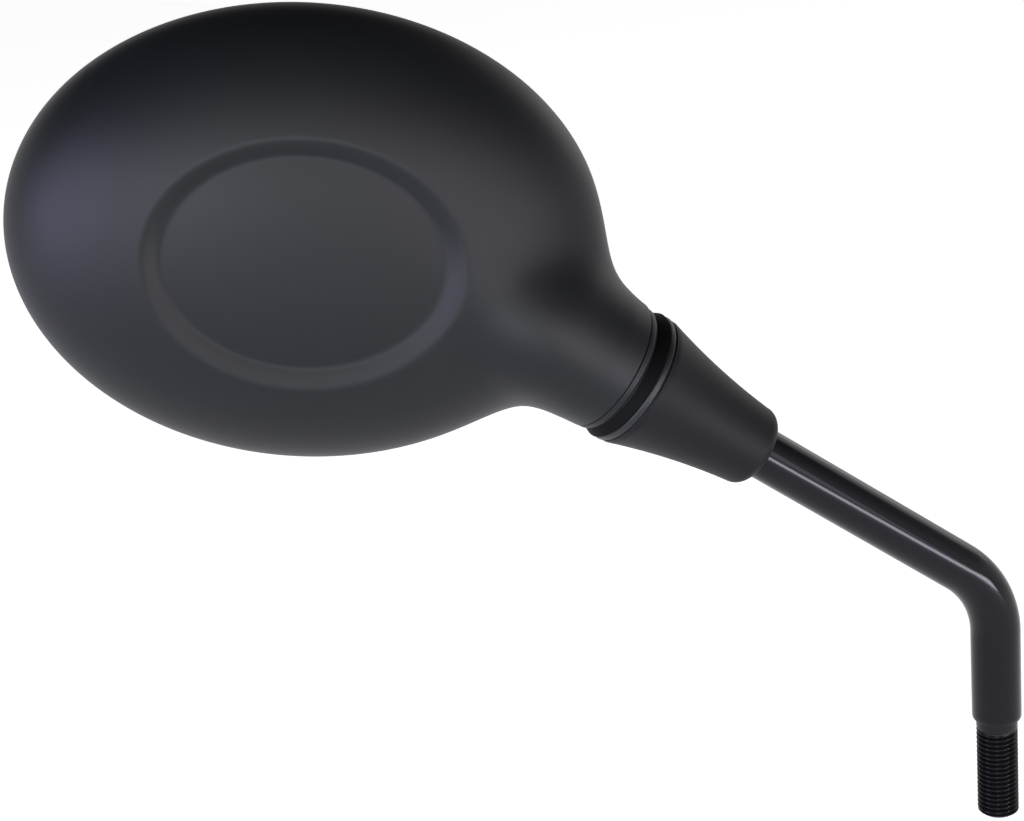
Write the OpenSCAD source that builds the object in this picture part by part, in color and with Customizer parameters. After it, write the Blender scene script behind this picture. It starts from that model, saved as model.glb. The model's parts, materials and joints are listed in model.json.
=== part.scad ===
// Handlebar mirror, right hand: an oval moulded head on a friction ball joint on a bent threaded stem.
// Frame: the origin is the centre of the stem's shoulder, +Z runs up its lower leg, the glass faces +Y.

/* [Stem] */
// Diameter of the rod
rod_d = 12; // [11:0.5:14]
// Diameter of the thread at the foot
thread_d = 10; // [8:0.5:10.5]
// Length of the thread
thread_len = 26.5; // [18:0.5:40]
// Height at which the two legs' axes cross
corner_h = 34.7; // [30:0.5:60]
// Radius of the bend, to the rod's axis
bend_r = 24; // [18:1:30]
// Slope of the upper leg above the horizontal
arm_rise = 38.6; // [32:0.2:46]
// Turn of the upper leg towards the front
arm_sweep = 11; // [0:0.5:16]
// Length from the legs' crossing to the ball joint's centre
arm_len = 103.5; // [90:0.5:130]
// Diameter of the threaded spigot at the top
spigot_d = 6; // [5:0.25:6]

/* [Ball joint] */
// Radius of the dome that the head turns on
ball_r = 17; // [16.8:0.1:17.6]
// Radius of the dome's skirt
skirt_r = 14.4; // [13.8:0.1:14.6]
// Tilt that the joint allows, the two directions together
tilt_room = 7.5; // [6:0.25:8]
// Gap between two surfaces that slide on each other
slide_gap = 0.1; // [0.05:0.01:0.12]
// Thickness of the friction liner
liner_t = 0.8; // [0.6:0.05:1.1]
// Thickness of the cup's web
web_t = 2.5; // [2:0.1:2.8]
// Height of one disc spring
disc_h = 1.1; // [0.9:0.05:1.3]
// Number of disc springs
disc_count = 4; // [2:1:4]
// Width of the lock nut across its flats
nut_af = 10; // [9:0.25:10]
// Height of the lock nut's hexagon
nut_h = 5; // [4:0.25:5]

/* [Cone cover] */
// Radius of the cone cover's mouth
mouth_r = 15.55; // [15.4:0.05:16.5]
// Radius of its small end
tail_r = 9.5; // [9.4:0.1:11]
// Its length behind the mouth
cone_len = 34.8; // [28:0.2:44]
// Its wall
cone_wall = 2.4; // [1.6:0.1:2.8]

/* [Housing] */
// Width of the oval head
oval_w = 131.6; // [120:0.5:145]
// Height of the oval head
oval_h = 102.6; // [92:0.5:110]
// Depth of its back behind the widest plane
back_depth = 27.5; // [25:0.5:32]
// Distance from the widest plane to the rim
rim_depth = 4.5; // [4:0.25:6]
// Wall of the moulding
wall = 2.5; // [1.8:0.1:2.8]
// Radius of the neck
neck_r = 15.05; // [14.9:0.05:16]
// Softness of the blend between neck and oval
blend = 15; // [8:0.5:20]
// Width of the recess in the back, at its outer edge
recess_w = 68.8; // [56:0.5:76]
// Height of the recess in the back, at its outer edge
recess_h = 56.4; // [46:0.5:60]
// Depth of the recess
recess_d = 2.6; // [1:0.1:3.5]
// Width of the recess's sloped edge
recess_band = 4.4; // [3:0.1:6]
// Place of the oval's centre outboard of the ball joint
head_out = 73.1; // [70:0.5:80]
// Place of the oval's centre above the ball joint
head_up = 40.7; // [36:0.5:46]
// How far the neck's front stays behind the rim, at the neck's end
front_gap = 0.05; // [0.05:0.05:1]
// Turn of the oval about its own normal
head_roll = 8.9; // [0:0.1:14]

/* [Glass] */
// Thickness of the glass
glass_t = 2.4; // [2:0.1:3]
// Rise of the convex glass over its half width
glass_rise = 1.4; // [0:0.1:2]
// Thickness of the foam pad behind the glass
pad_t = 1; // [0.6:0.1:1.4]
// Thickness of the carrier plate
carrier_t = 2; // [1.6:0.1:2.4]
// Diameter of the carrier's screws
screw_d = 3; // [2.5:0.1:3.5]

/* [Hidden] */
$fn = 72;

// Gap between two faces of fixed pieces
seat_gap = 0.05;
// Cutting bodies reach this far past a face
past = 1;

// The upper leg's frame: its z runs from the ball joint's centre towards the head
arm_dir = [-cos(arm_rise) * cos(arm_sweep), -cos(arm_rise) * sin(arm_sweep), sin(arm_rise)];
pivot = [0, 0, corner_h] + arm_len * arm_dir;
bend_angle = 90 - arm_rise;
bend_cut = bend_r * tan(bend_angle / 2);

// Heights along that frame, from the cone cover to the spigot's end
mouth_z = 4.4;
bead_z = mouth_z + 2.4;
cap_z = bead_z + slide_gap;
lip_z = 9.3;
neck_z = 11.6;
rod_top = 8;
skirt_z = mouth_z - 1.1;
hub_z = -11;
liner_r = ball_r + slide_gap;
cup_r = liner_r + liner_t + slide_gap;
web_r = cup_r + web_t;
press_r = web_r + slide_gap;
press_top = press_r + 1.9;
disc_top = press_top + disc_count * disc_h + seat_gap * (disc_count + 1);
washer_t = 1.2;
nut_z = disc_top + washer_t + seat_gap;
collar_h = 1.3;
spigot_top = nut_z + nut_h + collar_h + 1;

// Radii that the tilt asks for
spigot_r = spigot_d / 2;
hole_r = spigot_r + press_r * sin(tilt_room) + 0.5;
press_w = hole_r + press_r * sin(tilt_room) + 0.4;
liner_in = spigot_r + press_r * sin(tilt_room * 0.75) + 0.3;
liner_out = 8.6;
relief_r = cup_r * sin(asin(liner_out / (liner_r + liner_t)) + tilt_room * 0.75 + 1);
plug_r = neck_r - 1.65;

// The oval head's frame: its y is the glass's normal, its x the long axis
half_w = oval_w / 2;
half_h = oval_h / 2;
front_depth = 12;
curve_n = 2.2;
// The rim lies just in front of the neck, which keeps the neck round
head_back = neck_r * sqrt(1 - pow(arm_dir.y, 2)) + neck_z * arm_dir.y - rim_depth + front_gap;
head_place = pivot + [-head_out, head_back, head_up];

function to_head(v) = [v.x * cos(head_roll) - v.z * sin(head_roll), v.y,
    v.x * sin(head_roll) + v.z * cos(head_roll)];
axis_dir = to_head(arm_dir);
axis_from = to_head(pivot - head_place);
// Two directions across the neck's axis
across_a = cross(axis_dir, [0, 1, 0]) / norm(cross(axis_dir, [0, 1, 0]));
across_b = cross(axis_dir, across_a);

// How far the neck's end, the centre of the oval and the oval's far end lie along the neck's axis
centre_s = -axis_from * axis_dir;
spread = [axis_dir.x * pow(half_w, 2), axis_dir.y * pow(back_depth, 2), axis_dir.z * pow(half_h, 2)];
reach = sqrt(spread * axis_dir);

// Distance from a point to the bowl whose half width, half height and depths are each smaller by inset
function bowl_gap(p, inset) =
    let (q = norm([p.x / (half_w - inset), p.z / (half_h - inset)]),
        d = abs(p.y) / ((p.y < 0 ? back_depth : front_depth) - inset),
        level = max(pow(pow(q, curve_n) + pow(d, curve_n), 1 / curve_n), 0.01))
    norm(p) * (1 - 1 / level);

// The neck is round. It tapers a little from taper_z on, and fast from fade_z on, to sink into the bowl
taper_z = 16;
taper_rate = 0.049;
fade_z = neck_z + back_depth * 0.742;
fade_rate = 0.75;
function neck_radius(s) = neck_r - taper_rate * max(0, s - taper_z) - fade_rate * max(0, s - fade_z);
function neck_gap(p, inset) =
    let (v = p - axis_from, s = v * axis_dir)
    norm(v - s * axis_dir) - (neck_radius(s) - inset);

// Bowl and neck as one surface: the lesser of the two distances, rounded where they are alike
function shell_gap(p, inset) =
    let (a = bowl_gap(p, inset), b = neck_gap(p, inset), h = max(blend - abs(a - b), 0) / blend)
    min(a, b) - h * h * blend / 4;

// Distance along a ray to that surface, by halving the interval
function ray_length(from, dir, inset, low, high, steps) =
    steps == 0 ? (low + high) / 2 :
    let (mid = (low + high) / 2)
    shell_gap(from + mid * dir, inset) < 0 ? ray_length(from, dir, inset, mid, high, steps - 1)
        : ray_length(from, dir, inset, low, mid, steps - 1);

// The line that the rings are centred on: the neck's axis, then the middle of the bowl's chords
spine_from = neck_z + 8;
spine_len = 30;
function ease(t) = let (c = min(max(t, 0), 1)) c * c * (3 - 2 * c);
function spine(s) =
    let (on_axis = axis_from + s * axis_dir, in_bowl = spread * (s - centre_s) / pow(reach, 2),
        f = ease((s - spine_from) / spine_len))
    on_axis * (1 - f) + in_bowl * f;

// Stations of the rings: even along the neck up to the knee, closer and closer towards the oval's far end
knee_s = centre_s - 0.617 * reach;
function stations(from, to, n_neck, n_bowl) =
    [for (i = [0:n_neck - 1]) from + (knee_s - from) * i / n_neck,
        for (j = [0:n_bowl - 1]) knee_s + (to - knee_s) * sin(90 * j / n_bowl)];

function ring(s, inset, sides) =
    let (c = spine(s))
    [for (i = [0:sides - 1]) let (a = 360 * i / sides, dir = cos(a) * across_a + sin(a) * across_b)
        c + dir * ray_length(c, dir, inset, 0, half_w * 1.6, 18)];

// A closed solid through rings of equal length, with a flat start and a point at the end
module skin(rings, tip) {
    n = len(rings[0]);
    m = len(rings);
    points = [for (r = rings) each r, tip];
    sides = [for (j = [0:m - 2], i = [0:n - 1])
        [j * n + i, (j + 1) * n + i, (j + 1) * n + (i + 1) % n, j * n + (i + 1) % n]];
    cap = [for (i = [0:n - 1]) [(m - 1) * n + i, m * n, (m - 1) * n + (i + 1) % n]];
    foot = [[for (i = [0:n - 1]) i]];
    polyhedron(points, concat(foot, sides, cap));
}

module shell_skin(inset, from, n_neck, n_bowl, sides) {
    end = centre_s + reach - inset;
    rings = [for (s = stations(from, end - 0.4, n_neck, n_bowl)) ring(s, inset, sides)];
    skin(rings, spread * (end - centre_s) / pow(reach, 2));
}

// Height of the bowl's back over a point of its plane
function back_y(x, z) =
    -back_depth * pow(max(1 - pow(norm([x / half_w, z / half_h]), curve_n), 0), 1 / curve_n);

// An oval pan that opens to the back: a floor parallel to the bowl at a depth, with sloped sides that run on
// past the surface by half their height
recess_x = 0.5;
band_h = recess_band + 0.3;
module pan(depth, grow, sides) {
    w = recess_w / 2 - recess_band + grow;
    h = recess_h / 2 - band_h + grow;
    far = -back_depth - 8;
    function oval_ring(w, h, lift) = [for (i = [0:sides - 1])
        let (x = recess_x + w * cos(360 * i / sides), z = h * sin(360 * i / sides))
        [x, back_y(x, z) + lift, z]];
    last = oval_ring(w, h, depth);
    edge = oval_ring(w + recess_band, h + band_h, depth - recess_d);
    top = edge + (edge - last) * 0.5;
    lid = [for (v = top) [v.x, far, v.z]];
    mirror([0, 1, 0]) skin([for (r = [lid, top, edge, last, oval_ring(w * 0.66, h * 0.66, depth),
        oval_ring(w * 0.33, h * 0.33, depth)]) [for (v = r) [v.x, -v.y, v.z]]],
        [recess_x, -back_y(recess_x, 0) - depth, 0]);
}

module on_arm() translate(pivot) rotate([0, 90 - arm_rise, 180 + arm_sweep]) children();
module in_head() translate(head_place) rotate([0, head_roll, 0]) children();
module tube(r, r_in, z0, z1) translate([0, 0, z0]) difference() {
    cylinder(r = r, h = z1 - z0);
    translate([0, 0, -past]) cylinder(r = r_in, h = z1 - z0 + 2 * past);
}
module rod(r, z0, z1) translate([0, 0, z0]) cylinder(r = r, h = z1 - z0);

// Plates of the glass stack: an upright oval between two depths, and a round dome or plate to cut it with
module plate(w, h, y0, y1) translate([0, y0, 0]) rotate([-90, 0, 0]) linear_extrude(height = y1 - y0)
    polygon([for (i = [0:95]) [w * cos(3.75 * i), h * sin(3.75 * i)]]);

// Steel stem
thread_r = thread_d / 2;
chamfer = 0.8;
bend_lap = asin(0.3 / bend_r);
module stem() color("#1c1c1f") {
    // The thread is a plain pin of its outer diameter
    translate([0, 0, -thread_len]) {
        cylinder(r1 = thread_r - chamfer, r2 = thread_r, h = chamfer);
        rod(thread_r, chamfer, thread_len);
    }
    rod(rod_d / 2, 0, corner_h - bend_cut);
    // The bend runs a little way inside both legs, a hair thinner than they are
    translate([0, 0, corner_h - bend_cut]) rotate([0, 0, 180 + arm_sweep])
        translate([bend_r, 0, 0]) rotate([90, 0, 180]) rotate([0, 0, -bend_lap])
            rotate_extrude(angle = bend_angle + 2 * bend_lap) translate([bend_r, 0])
                circle(r = rod_d / 2 - 0.01);
    on_arm() difference() {
        union() {
            rod(rod_d / 2, bend_cut - arm_len, rod_top);
            rod(spigot_r, rod_top, spigot_top);
        }
        cross_hole(seat_gap);
    }
}

// Cross pin through the dome's hub and the rod
pin_r = 1.5;
pin_z = (hub_z + skirt_z) / 2;
hub_r = rod_d / 2 + 2.6;
module cross_hole(gap) translate([0, 0, pin_z]) rotate([90, 0, 0]) translate([0, 0, -hub_r - past])
    cylinder(r = pin_r + gap, h = 2 * (hub_r + past), $fn = 24);
module dome_pin() color("#8a8d92") on_arm() translate([0, 0, pin_z]) rotate([90, 0, 0])
    translate([0, 0, -hub_r + 0.2]) difference() {
        cylinder(r = pin_r, h = 2 * hub_r - 0.4, $fn = 24);
        translate([0, 0, -past]) cylinder(r = pin_r * 0.55, h = 2 * hub_r + past, $fn = 24);
    }

// Dome: the ball's cap, a skirt that sits in the cone cover's mouth and a hub on the rod
module pivot_dome() color("#141416") on_arm() difference() {
    union() {
        intersection() {
            sphere(r = ball_r);
            rod(ball_r, cap_z, ball_r + past);
        }
        rod(skirt_r, skirt_z + slide_gap, cap_z);
        rod(hub_r, hub_z, cap_z);
    }
    rod(rod_d / 2 + seat_gap, hub_z - past, rod_top + seat_gap);
    rod(spigot_r + seat_gap, rod_top - past, ball_r + past);
    tube(skirt_r - 2.2, hub_r + 0.8, hub_z, cap_z - 1.5);
    cross_hole(seat_gap);
}

// Cone cover: its side is a hollow arc from the mouth to the rounded small end
side_sag = 0.75;
tail_round = 3.2;
function cone_side(t, inset) =
    let (z = t * (cone_len - tail_round), r = mouth_r + (tail_r - mouth_r) * t - side_sag * 4 * t * (1 - t))
    [r - inset, mouth_z - z];
module cone_cover() {
    outside = [for (i = [0:12]) cone_side(i / 12, 0)];
    tail = [for (a = [15:15:90]) [tail_r - tail_round * (1 - cos(a)),
        mouth_z - cone_len + tail_round * (1 - sin(a))]];
    inside = [for (i = [11:-1:1]) cone_side(i / 12, cone_wall)];
    // The mouth's bevelled lip, with a fine groove below it
    bead = [[mouth_r - 0.8, bead_z], [mouth_r - 0.6, bead_z - 0.2], [mouth_r - 0.12, mouth_z + 0.7],
        [mouth_r - 0.12, mouth_z + 0.5], [mouth_r - 0.35, mouth_z + 0.3], [mouth_r - 0.05, mouth_z + 0.1]];
    fit_r = rod_d / 2 + seat_gap;
    color("#232327") on_arm() rotate_extrude() polygon(concat(bead, outside, tail,
        [[fit_r, mouth_z - cone_len], [fit_r, mouth_z - cone_len + 4.5]],
        inside,
        [[mouth_r - cone_wall - 0.6, skirt_z], [skirt_r + slide_gap, skirt_z],
            [skirt_r + slide_gap, bead_z]]));
}

// Clamp stack on the spigot: spherical washer, disc springs, flat washer, lock nut with its nylon ring
module pressure_washer() color("#6f7276") on_arm() difference() {
    rod(press_w, press_r * 0.8, press_top);
    sphere(r = press_r);
    rod(spigot_r + slide_gap, 0, press_top + past);
}

disc_r = 7;
disc_t = 0.7;
module disc_spring(z, up) {
    // A coned washer that stands on its outer or its inner edge
    low = up ? [spigot_r + 0.2, disc_r] : [disc_r, spigot_r + 0.2];
    rotate_extrude() polygon([[low[0], z], [low[0], z + disc_t], [low[1], z + disc_h],
        [low[1], z + disc_h - disc_t]]);
}
module disc_springs() color("#85888c") on_arm() for (i = [0:disc_count - 1])
    disc_spring(press_top + seat_gap + i * (disc_h + seat_gap), i % 2 == 0);

module spring_washer() color("#9a9da1") on_arm()
    tube(disc_r - 0.8, spigot_r + seat_gap, disc_top, disc_top + washer_t);

collar_r = nut_af / 2 - 0.4;
insert_r = collar_r - 0.6;
module lock_nut() color("#9a9da1") on_arm() difference() {
    union() {
        translate([0, 0, nut_z]) cylinder(d = nut_af / cos(30), h = nut_h, $fn = 6);
        rod(collar_r, nut_z + nut_h, nut_z + nut_h + collar_h);
    }
    rod(spigot_r + seat_gap, nut_z - past, spigot_top);
    rod(insert_r + seat_gap, nut_z + nut_h, spigot_top);
}
module nut_insert() color("#2f63a8") on_arm()
    tube(insert_r, spigot_r + seat_gap, nut_z + nut_h + seat_gap, nut_z + nut_h + collar_h);

// Nylon ring between the dome and the cup
module friction_liner() color("#d8d4c4") on_arm() intersection() {
    difference() {
        sphere(r = liner_r + liner_t);
        sphere(r = liner_r);
    }
    tube(liner_out, liner_in, 0, ball_r * 2);
}

// Cup in the neck's end: a rounded lip round the dome, a plug in the neck and a spherical web
module socket_cup() color("#242428") on_arm() difference() {
    union() {
        rotate_extrude() polygon([[0, lip_z], [neck_r - 0.6, lip_z], [neck_r - 0.25, lip_z + 0.45],
            [neck_r, lip_z + 1.3], [neck_r, neck_z - 0.35], [neck_r - 0.15, neck_z - seat_gap],
            [0, neck_z - seat_gap]]);
        intersection() {
            rod(plug_r - seat_gap, neck_z - past, web_r);
            sphere(r = web_r);
        }
    }
    sphere(r = liner_r);
    intersection() {
        sphere(r = cup_r);
        rod(relief_r, 0, ball_r * 2);
    }
    rod(hole_r, 0, ball_r * 2);
}

// Housing: one moulding with the neck, the recess, four screw bosses with gussets and stiffening ribs inside
boss_r = screw_d / 2 + 2;
boss_out = 0.7;
boss_angles = [45:90:315];
screw_len = 2.6 * screw_d;
head_h = 0.27 * screw_d;
crown_up = 0.9;
glass_back = rim_depth + crown_up - glass_rise - glass_t;
carrier_top = glass_back - pad_t - 2 * seat_gap;
boss_top = carrier_top - carrier_t - seat_gap;
rim_w = half_w * 0.918;
rim_h = half_h * 0.905;
rib_t = wall * 0.56;
rib_h = 3.5;
function oval_at(a, q) = [q * half_w * cos(a), 0, q * half_h * sin(a)];
module upright(r, at, y0, y1) translate([at.x, y0, at.z]) rotate([-90, 0, 0])
    cylinder(r = r, h = y1 - y0, $fn = 24);
module boss(a) hull() {
    upright(boss_r + 0.9, oval_at(a, boss_out), -back_depth, -back_depth + 1);
    upright(boss_r, oval_at(a, boss_out), boss_top, boss_top + past);
}
module gusset(a) hull() for (q = [boss_out, 0.98])
    upright(rib_t / 2, oval_at(a, q), -back_depth, boss_top - 3.2);
module holes(r, y0, y1) for (a = boss_angles) upright(r, oval_at(a, boss_out), y0, y1);
module housing() color("#3a3b40") difference() {
    in_head() difference() {
        shell_skin(0, neck_z, 8, 20, 48);
        difference() {
            shell_skin(wall, neck_z - past, 6, 15, 36);
            pan(recess_d + wall, wall * 0.6, 48);
            for (a = boss_angles) boss(a);
            for (a = boss_angles) gusset(a);
            translate([0, -back_depth + recess_d + wall + rib_h, 0]) rotate([90, 0, 0])
                linear_extrude(height = rib_h + 2 * wall)
                    for (a = [15:60:135]) rotate(a) square([recess_w, rib_t], center = true);
        }
        pan(recess_d, 0, 64);
        holes(screw_d / 2 - 0.3, boss_top - screw_len - past, boss_top + past);
        translate([-half_w * 1.2, rim_depth, -half_h * 1.2])
            cube([half_w * 2.4, front_depth * 3, half_h * 2.4]);
        plate(rim_w, rim_h, boss_top, rim_depth + past);
    }
    on_arm() rod(plug_r, neck_z - past, web_r);
}

// Glass stack, all ovals on one centre. The glass is part of a ball's surface, so its edge is not quite flat
glass_w = rim_w - 1.6;
glass_h = rim_h - 1.6;
glass_face = glass_back + glass_t;
lip_w = 1.7;
dome_steps = 6;
function dome_rise(r) = glass_rise * (1 - pow(r / glass_w, 2));
module dome_cut(y0, y1, low) {
    // A round plate whose top is raised by the glass's dome, as is its underside where low is 1
    top = [for (i = [0:dome_steps]) let (r = glass_w * 1.02 * i / dome_steps) [r, y1 + dome_rise(r)]];
    floor = low == 0 ? [[glass_w * 1.02, y0], [0, y0]]
        : [for (i = [dome_steps:-1:0]) let (r = glass_w * 1.02 * i / dome_steps) [r, y0 + low * dome_rise(r)]];
    rotate([-90, 0, 0]) rotate_extrude() polygon(concat(top, floor));
}
module mirror_glass() color("#cfd8dc") in_head() intersection() {
    plate(glass_w, glass_h, glass_back - past, glass_face + glass_rise + past);
    dome_cut(glass_back, glass_face, 1);
}
module foam_pad() color("#303033") in_head() intersection() {
    plate(glass_w - 2.6, glass_h - 2.6, carrier_top - past, glass_face + glass_rise);
    dome_cut(carrier_top + seat_gap, glass_back - seat_gap, 0);
}
module rim_gasket() color("#1b1b1d") in_head() difference() {
    lip_y = glass_face + dome_rise(glass_h - lip_w) + seat_gap;
    plate(rim_w - seat_gap, rim_h - seat_gap, glass_back - 0.5, lip_y + 0.7);
    plate(glass_w + seat_gap, glass_h + seat_gap, glass_back - past, lip_y);
    plate(glass_w - lip_w, glass_h - lip_w, glass_back, lip_y + past);
}
module carrier_plate() color("#2a2a2d") in_head() difference() {
    plate(glass_w - 2, glass_h - 2, carrier_top - carrier_t, carrier_top);
    holes(screw_d / 2 + 0.2, carrier_top - carrier_t - past, carrier_top + past);
    holes(screw_d + 0.2, carrier_top - head_h - 0.1, carrier_top + past);
}
module carrier_screws() color("#8f9296") in_head() {
    holes(screw_d / 2 - 0.35, boss_top - screw_len, boss_top);
    holes(screw_d / 2, boss_top, carrier_top - head_h);
    holes(screw_d, carrier_top - head_h, carrier_top);
}

stem();
cone_cover();
pivot_dome();
dome_pin();
pressure_washer();
disc_springs();
spring_washer();
lock_nut();
nut_insert();
friction_liner();
socket_cup();
housing();
carrier_plate();
carrier_screws();
foam_pad();
mirror_glass();
rim_gasket();
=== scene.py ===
"""Handlebar mirror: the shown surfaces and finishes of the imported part.

Lengths are in millimetres until they enter a mesh. A height up the arm is measured along the arm from the ball's
centre, towards the head.
"""
import json
import math

import bpy
import numpy as np
from mathutils import Matrix, Vector


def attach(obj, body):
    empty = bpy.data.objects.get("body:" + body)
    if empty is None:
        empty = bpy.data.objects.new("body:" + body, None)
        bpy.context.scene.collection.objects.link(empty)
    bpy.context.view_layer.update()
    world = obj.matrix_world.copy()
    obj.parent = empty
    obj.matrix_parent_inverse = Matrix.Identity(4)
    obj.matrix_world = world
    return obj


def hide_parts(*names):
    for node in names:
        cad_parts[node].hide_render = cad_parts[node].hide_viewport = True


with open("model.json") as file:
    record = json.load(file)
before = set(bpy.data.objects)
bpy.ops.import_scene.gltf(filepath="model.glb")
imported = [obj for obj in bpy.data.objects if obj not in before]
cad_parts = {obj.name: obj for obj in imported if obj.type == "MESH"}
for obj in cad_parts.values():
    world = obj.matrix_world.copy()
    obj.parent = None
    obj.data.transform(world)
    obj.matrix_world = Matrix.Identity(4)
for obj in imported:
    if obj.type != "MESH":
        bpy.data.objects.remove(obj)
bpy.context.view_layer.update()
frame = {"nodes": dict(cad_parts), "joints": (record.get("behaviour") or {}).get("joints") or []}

MM = 0.001
UP = np.array([0.0, 0.0, 1.0])
# Clearance between neighbouring surfaces that the solids let touch
PLAY = 0.05

# The ball joint's centre and the direction from it to the head, as packed
swivel = next(joint for joint in frame["joints"] if joint["name"] == "swivel")
PIVOT = np.array(swivel["pos_m"]) / MM
ARM = np.array(swivel["axis"]) / np.linalg.norm(swivel["axis"])

# Stem: its lower leg stands on the origin, with the thread below it
ROD_R = 6.0
THREAD_R = 5.0
THREAD_LEN = 26.5
THREAD_PITCH = 1.25
THREAD_DEPTH = 0.613 * THREAD_PITCH
# Crest and root are each this share of the pitch wide
THREAD_FLAT = 0.125
# Where the axes of both legs would meet, and how the bend rounds that corner
CORNER_H = 34.7
BEND_R = 24.0
BEND_ANGLE = math.acos(ARM[2])
BEND_CUT = BEND_R * math.tan(BEND_ANGLE / 2)
LEG_LEN = CORNER_H - BEND_CUT
SPIGOT_R = 3.0
ROD_TOP = 8.0
SPIGOT_TOP = 35.7

# Ball joint and cone cover: each name with Z is a height up the arm
BALL_R = 17.0
SKIRT_R = 14.4
HUB_R = 8.6
HUB_Z = -11.0
MOUTH_Z = 4.4
BEAD_Z = 6.8
CAP_Z = 6.9
LIP_Z = 9.3
NECK_Z = 11.6
MOUTH_R = 15.55
TAIL_R = 9.5
CONE_LEN = 34.8
TAIL_Z = MOUTH_Z - CONE_LEN
CONE_WALL = 2.4
TAIL_ROUND = 3.2
SIDE_SAG = 0.75
CUP_R = 18.0
SEAT_R = BALL_R + 0.1
SEAT_HOLE_R = 10.9
WEB_R = 20.5
WEB_HOLE_R = 6.2
PLUG_R = 13.4
STEP_Z = 24.5
BORE_R = 10.6
BORE_TOP = 36.9

# Head: an oval bowl with a neck, in a frame of its own whose y is the glass's normal
HEAD_ROLL = math.radians(8.9)
HALF_W = 65.8
HALF_H = 51.3
BACK_DEPTH = 27.5
FRONT_DEPTH = 12.0
CURVE_N = 2.2
BLEND = 22.5
# The neck's radius falls slowly from the taper's height and fast from the fade's, which sets in over a soft stretch
NECK_R = 15.05
TAPER_Z = 16.0
TAPER_RATE = 0.049
FADE_Z = 35.005
FADE_RATE = 0.75
FADE_SOFT = 8.0
# Where the line that the housing's rings are centred on leaves the neck's axis, and how long it takes to turn
SPINE_Z = NECK_Z + 8
SPINE_TURN = 30.0
RIM_Y = 4.5
RIM_ROUND = 0.5
# The ring that bounds the housing's opening runs on this plane, where the rim's rounding starts
EDGE_Y = RIM_Y - RIM_ROUND
# The recess's outer and inner ovals: middle across and up, half width and half height
RECESS_OUT = (0.9, -0.35, 35.1, 28.6)
RECESS_IN = (0.5, 0.45, 30.0, 23.05)
RECESS_D = 2.6
# Share of the slope that each of its rounded ends takes, and the plane behind which it is pressed
RECESS_SOFT = 0.22
RECESS_Y = -8.0
WALL = 2.5
POCKET_W = 60.4
POCKET_H = 46.43
POCKET_Y = -1.55
# The rim lies just in front of the neck's end
HEAD_BACK = NECK_R * math.sqrt(1 - ARM[1] ** 2) + NECK_Z * ARM[1] - RIM_Y + PLAY
HEAD_PLACE = PIVOT + np.array([-73.1, HEAD_BACK, 40.7])

# Glass: half width, half height, and the ball's skin that it is cut from
GLASS_W = 58.8
GLASS_H = 44.83
GLASS_BACK = 1.6
GLASS_T = 2.4
GLASS_RISE = 1.4
GASKET_LIP = 1.7


def unit(v):
    """The vector divided by its length."""
    return v / np.linalg.norm(v, axis=-1, keepdims=True)


def ease(t):
    """A smooth step: 3 t squared minus 2 t cubed between 0 and 1."""
    t = np.clip(t, 0, 1)
    return t * t * (3 - 2 * t)


def circle(sides):
    """The angles of a closed ring's points: equal shares of a full turn."""
    return np.arange(sides) * 2 * np.pi / sides


# Meshes


def mesh_from(name, points, quads, tris=()):
    """A mesh of quads and triangles, without points that none of them uses, turned so that its volume, a sixth of
    the sum of a . (b x c), is positive."""
    quads = np.asarray(quads, dtype=np.int64).reshape(-1, 4)
    tris = np.asarray(tris, dtype=np.int64).reshape(-1, 3)
    fans = np.concatenate([quads[:, [0, 1, 2]], quads[:, [0, 2, 3]], tris])
    a, b, c = (points[fans[:, i]] for i in range(3))
    if np.einsum("ij,ij->", a, np.cross(b, c)) < 0:
        quads, tris = quads[:, ::-1], tris[:, ::-1]
    used, corners = np.unique(np.concatenate([quads.ravel(), tris.ravel()]), return_inverse=True)
    sizes = np.concatenate([np.full(len(quads), 4), np.full(len(tris), 3)])
    mesh = bpy.data.meshes.new(name)
    mesh.vertices.add(len(used))
    mesh.vertices.foreach_set("co", (points[used] * MM).ravel())
    mesh.loops.add(len(corners))
    mesh.loops.foreach_set("vertex_index", corners)
    mesh.polygons.add(len(sizes))
    mesh.polygons.foreach_set("loop_start", np.concatenate([[0], np.cumsum(sizes)[:-1]]))
    mesh.update(calc_edges=True)
    mesh.validate()
    mesh.shade_smooth()
    mesh.set_sharp_from_angle(angle=math.radians(32))
    return mesh


def net(rows, cols, wrap_rows=False):
    """The quads of a grid of rows of cols points: each joins a point to its next in the row, which is closed, and
    in the column."""
    j = np.arange(rows if wrap_rows else rows - 1)[:, None]
    i = np.arange(cols)[None, :]
    j2, i2 = (j + 1) % rows, (i + 1) % cols
    return np.stack([j * cols + i, j * cols + i2, j2 * cols + i2, j2 * cols + i], axis=-1).reshape(-1, 4)


def fan(first, count, pole):
    """Triangles from a closed row of points to one pole."""
    i = np.arange(count)
    return np.stack([first + i, first + (i + 1) % count, np.full(count, pole)], axis=-1)


def capped(name, rows, poles):
    """A mesh from closed rows of points, shut by a pole before the first row and one after the last."""
    count, sides = rows.shape[:2]
    last = count * sides
    tris = np.concatenate([fan(0, sides, last)[:, ::-1], fan(last - sides, sides, last + 1)])
    return mesh_from(name, np.concatenate([rows.reshape(-1, 3), poles]), net(count, sides), tris)


def turned(name, profile, sides=144):
    """A closed profile of (radius, height) points carried round the arm: centre + height * arm + radius * spoke."""
    across = unit(np.cross(ARM, UP))
    angle = circle(sides)[:, None]
    spoke = np.cos(angle) * across + np.sin(angle) * np.cross(ARM, across)
    radius, height = profile[:, 0, None, None], profile[:, 1, None, None]
    rows = PIVOT + height * ARM + radius * spoke[None]
    return mesh_from(name, rows.reshape(-1, 3), net(len(profile), sides, wrap_rows=True))


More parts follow.
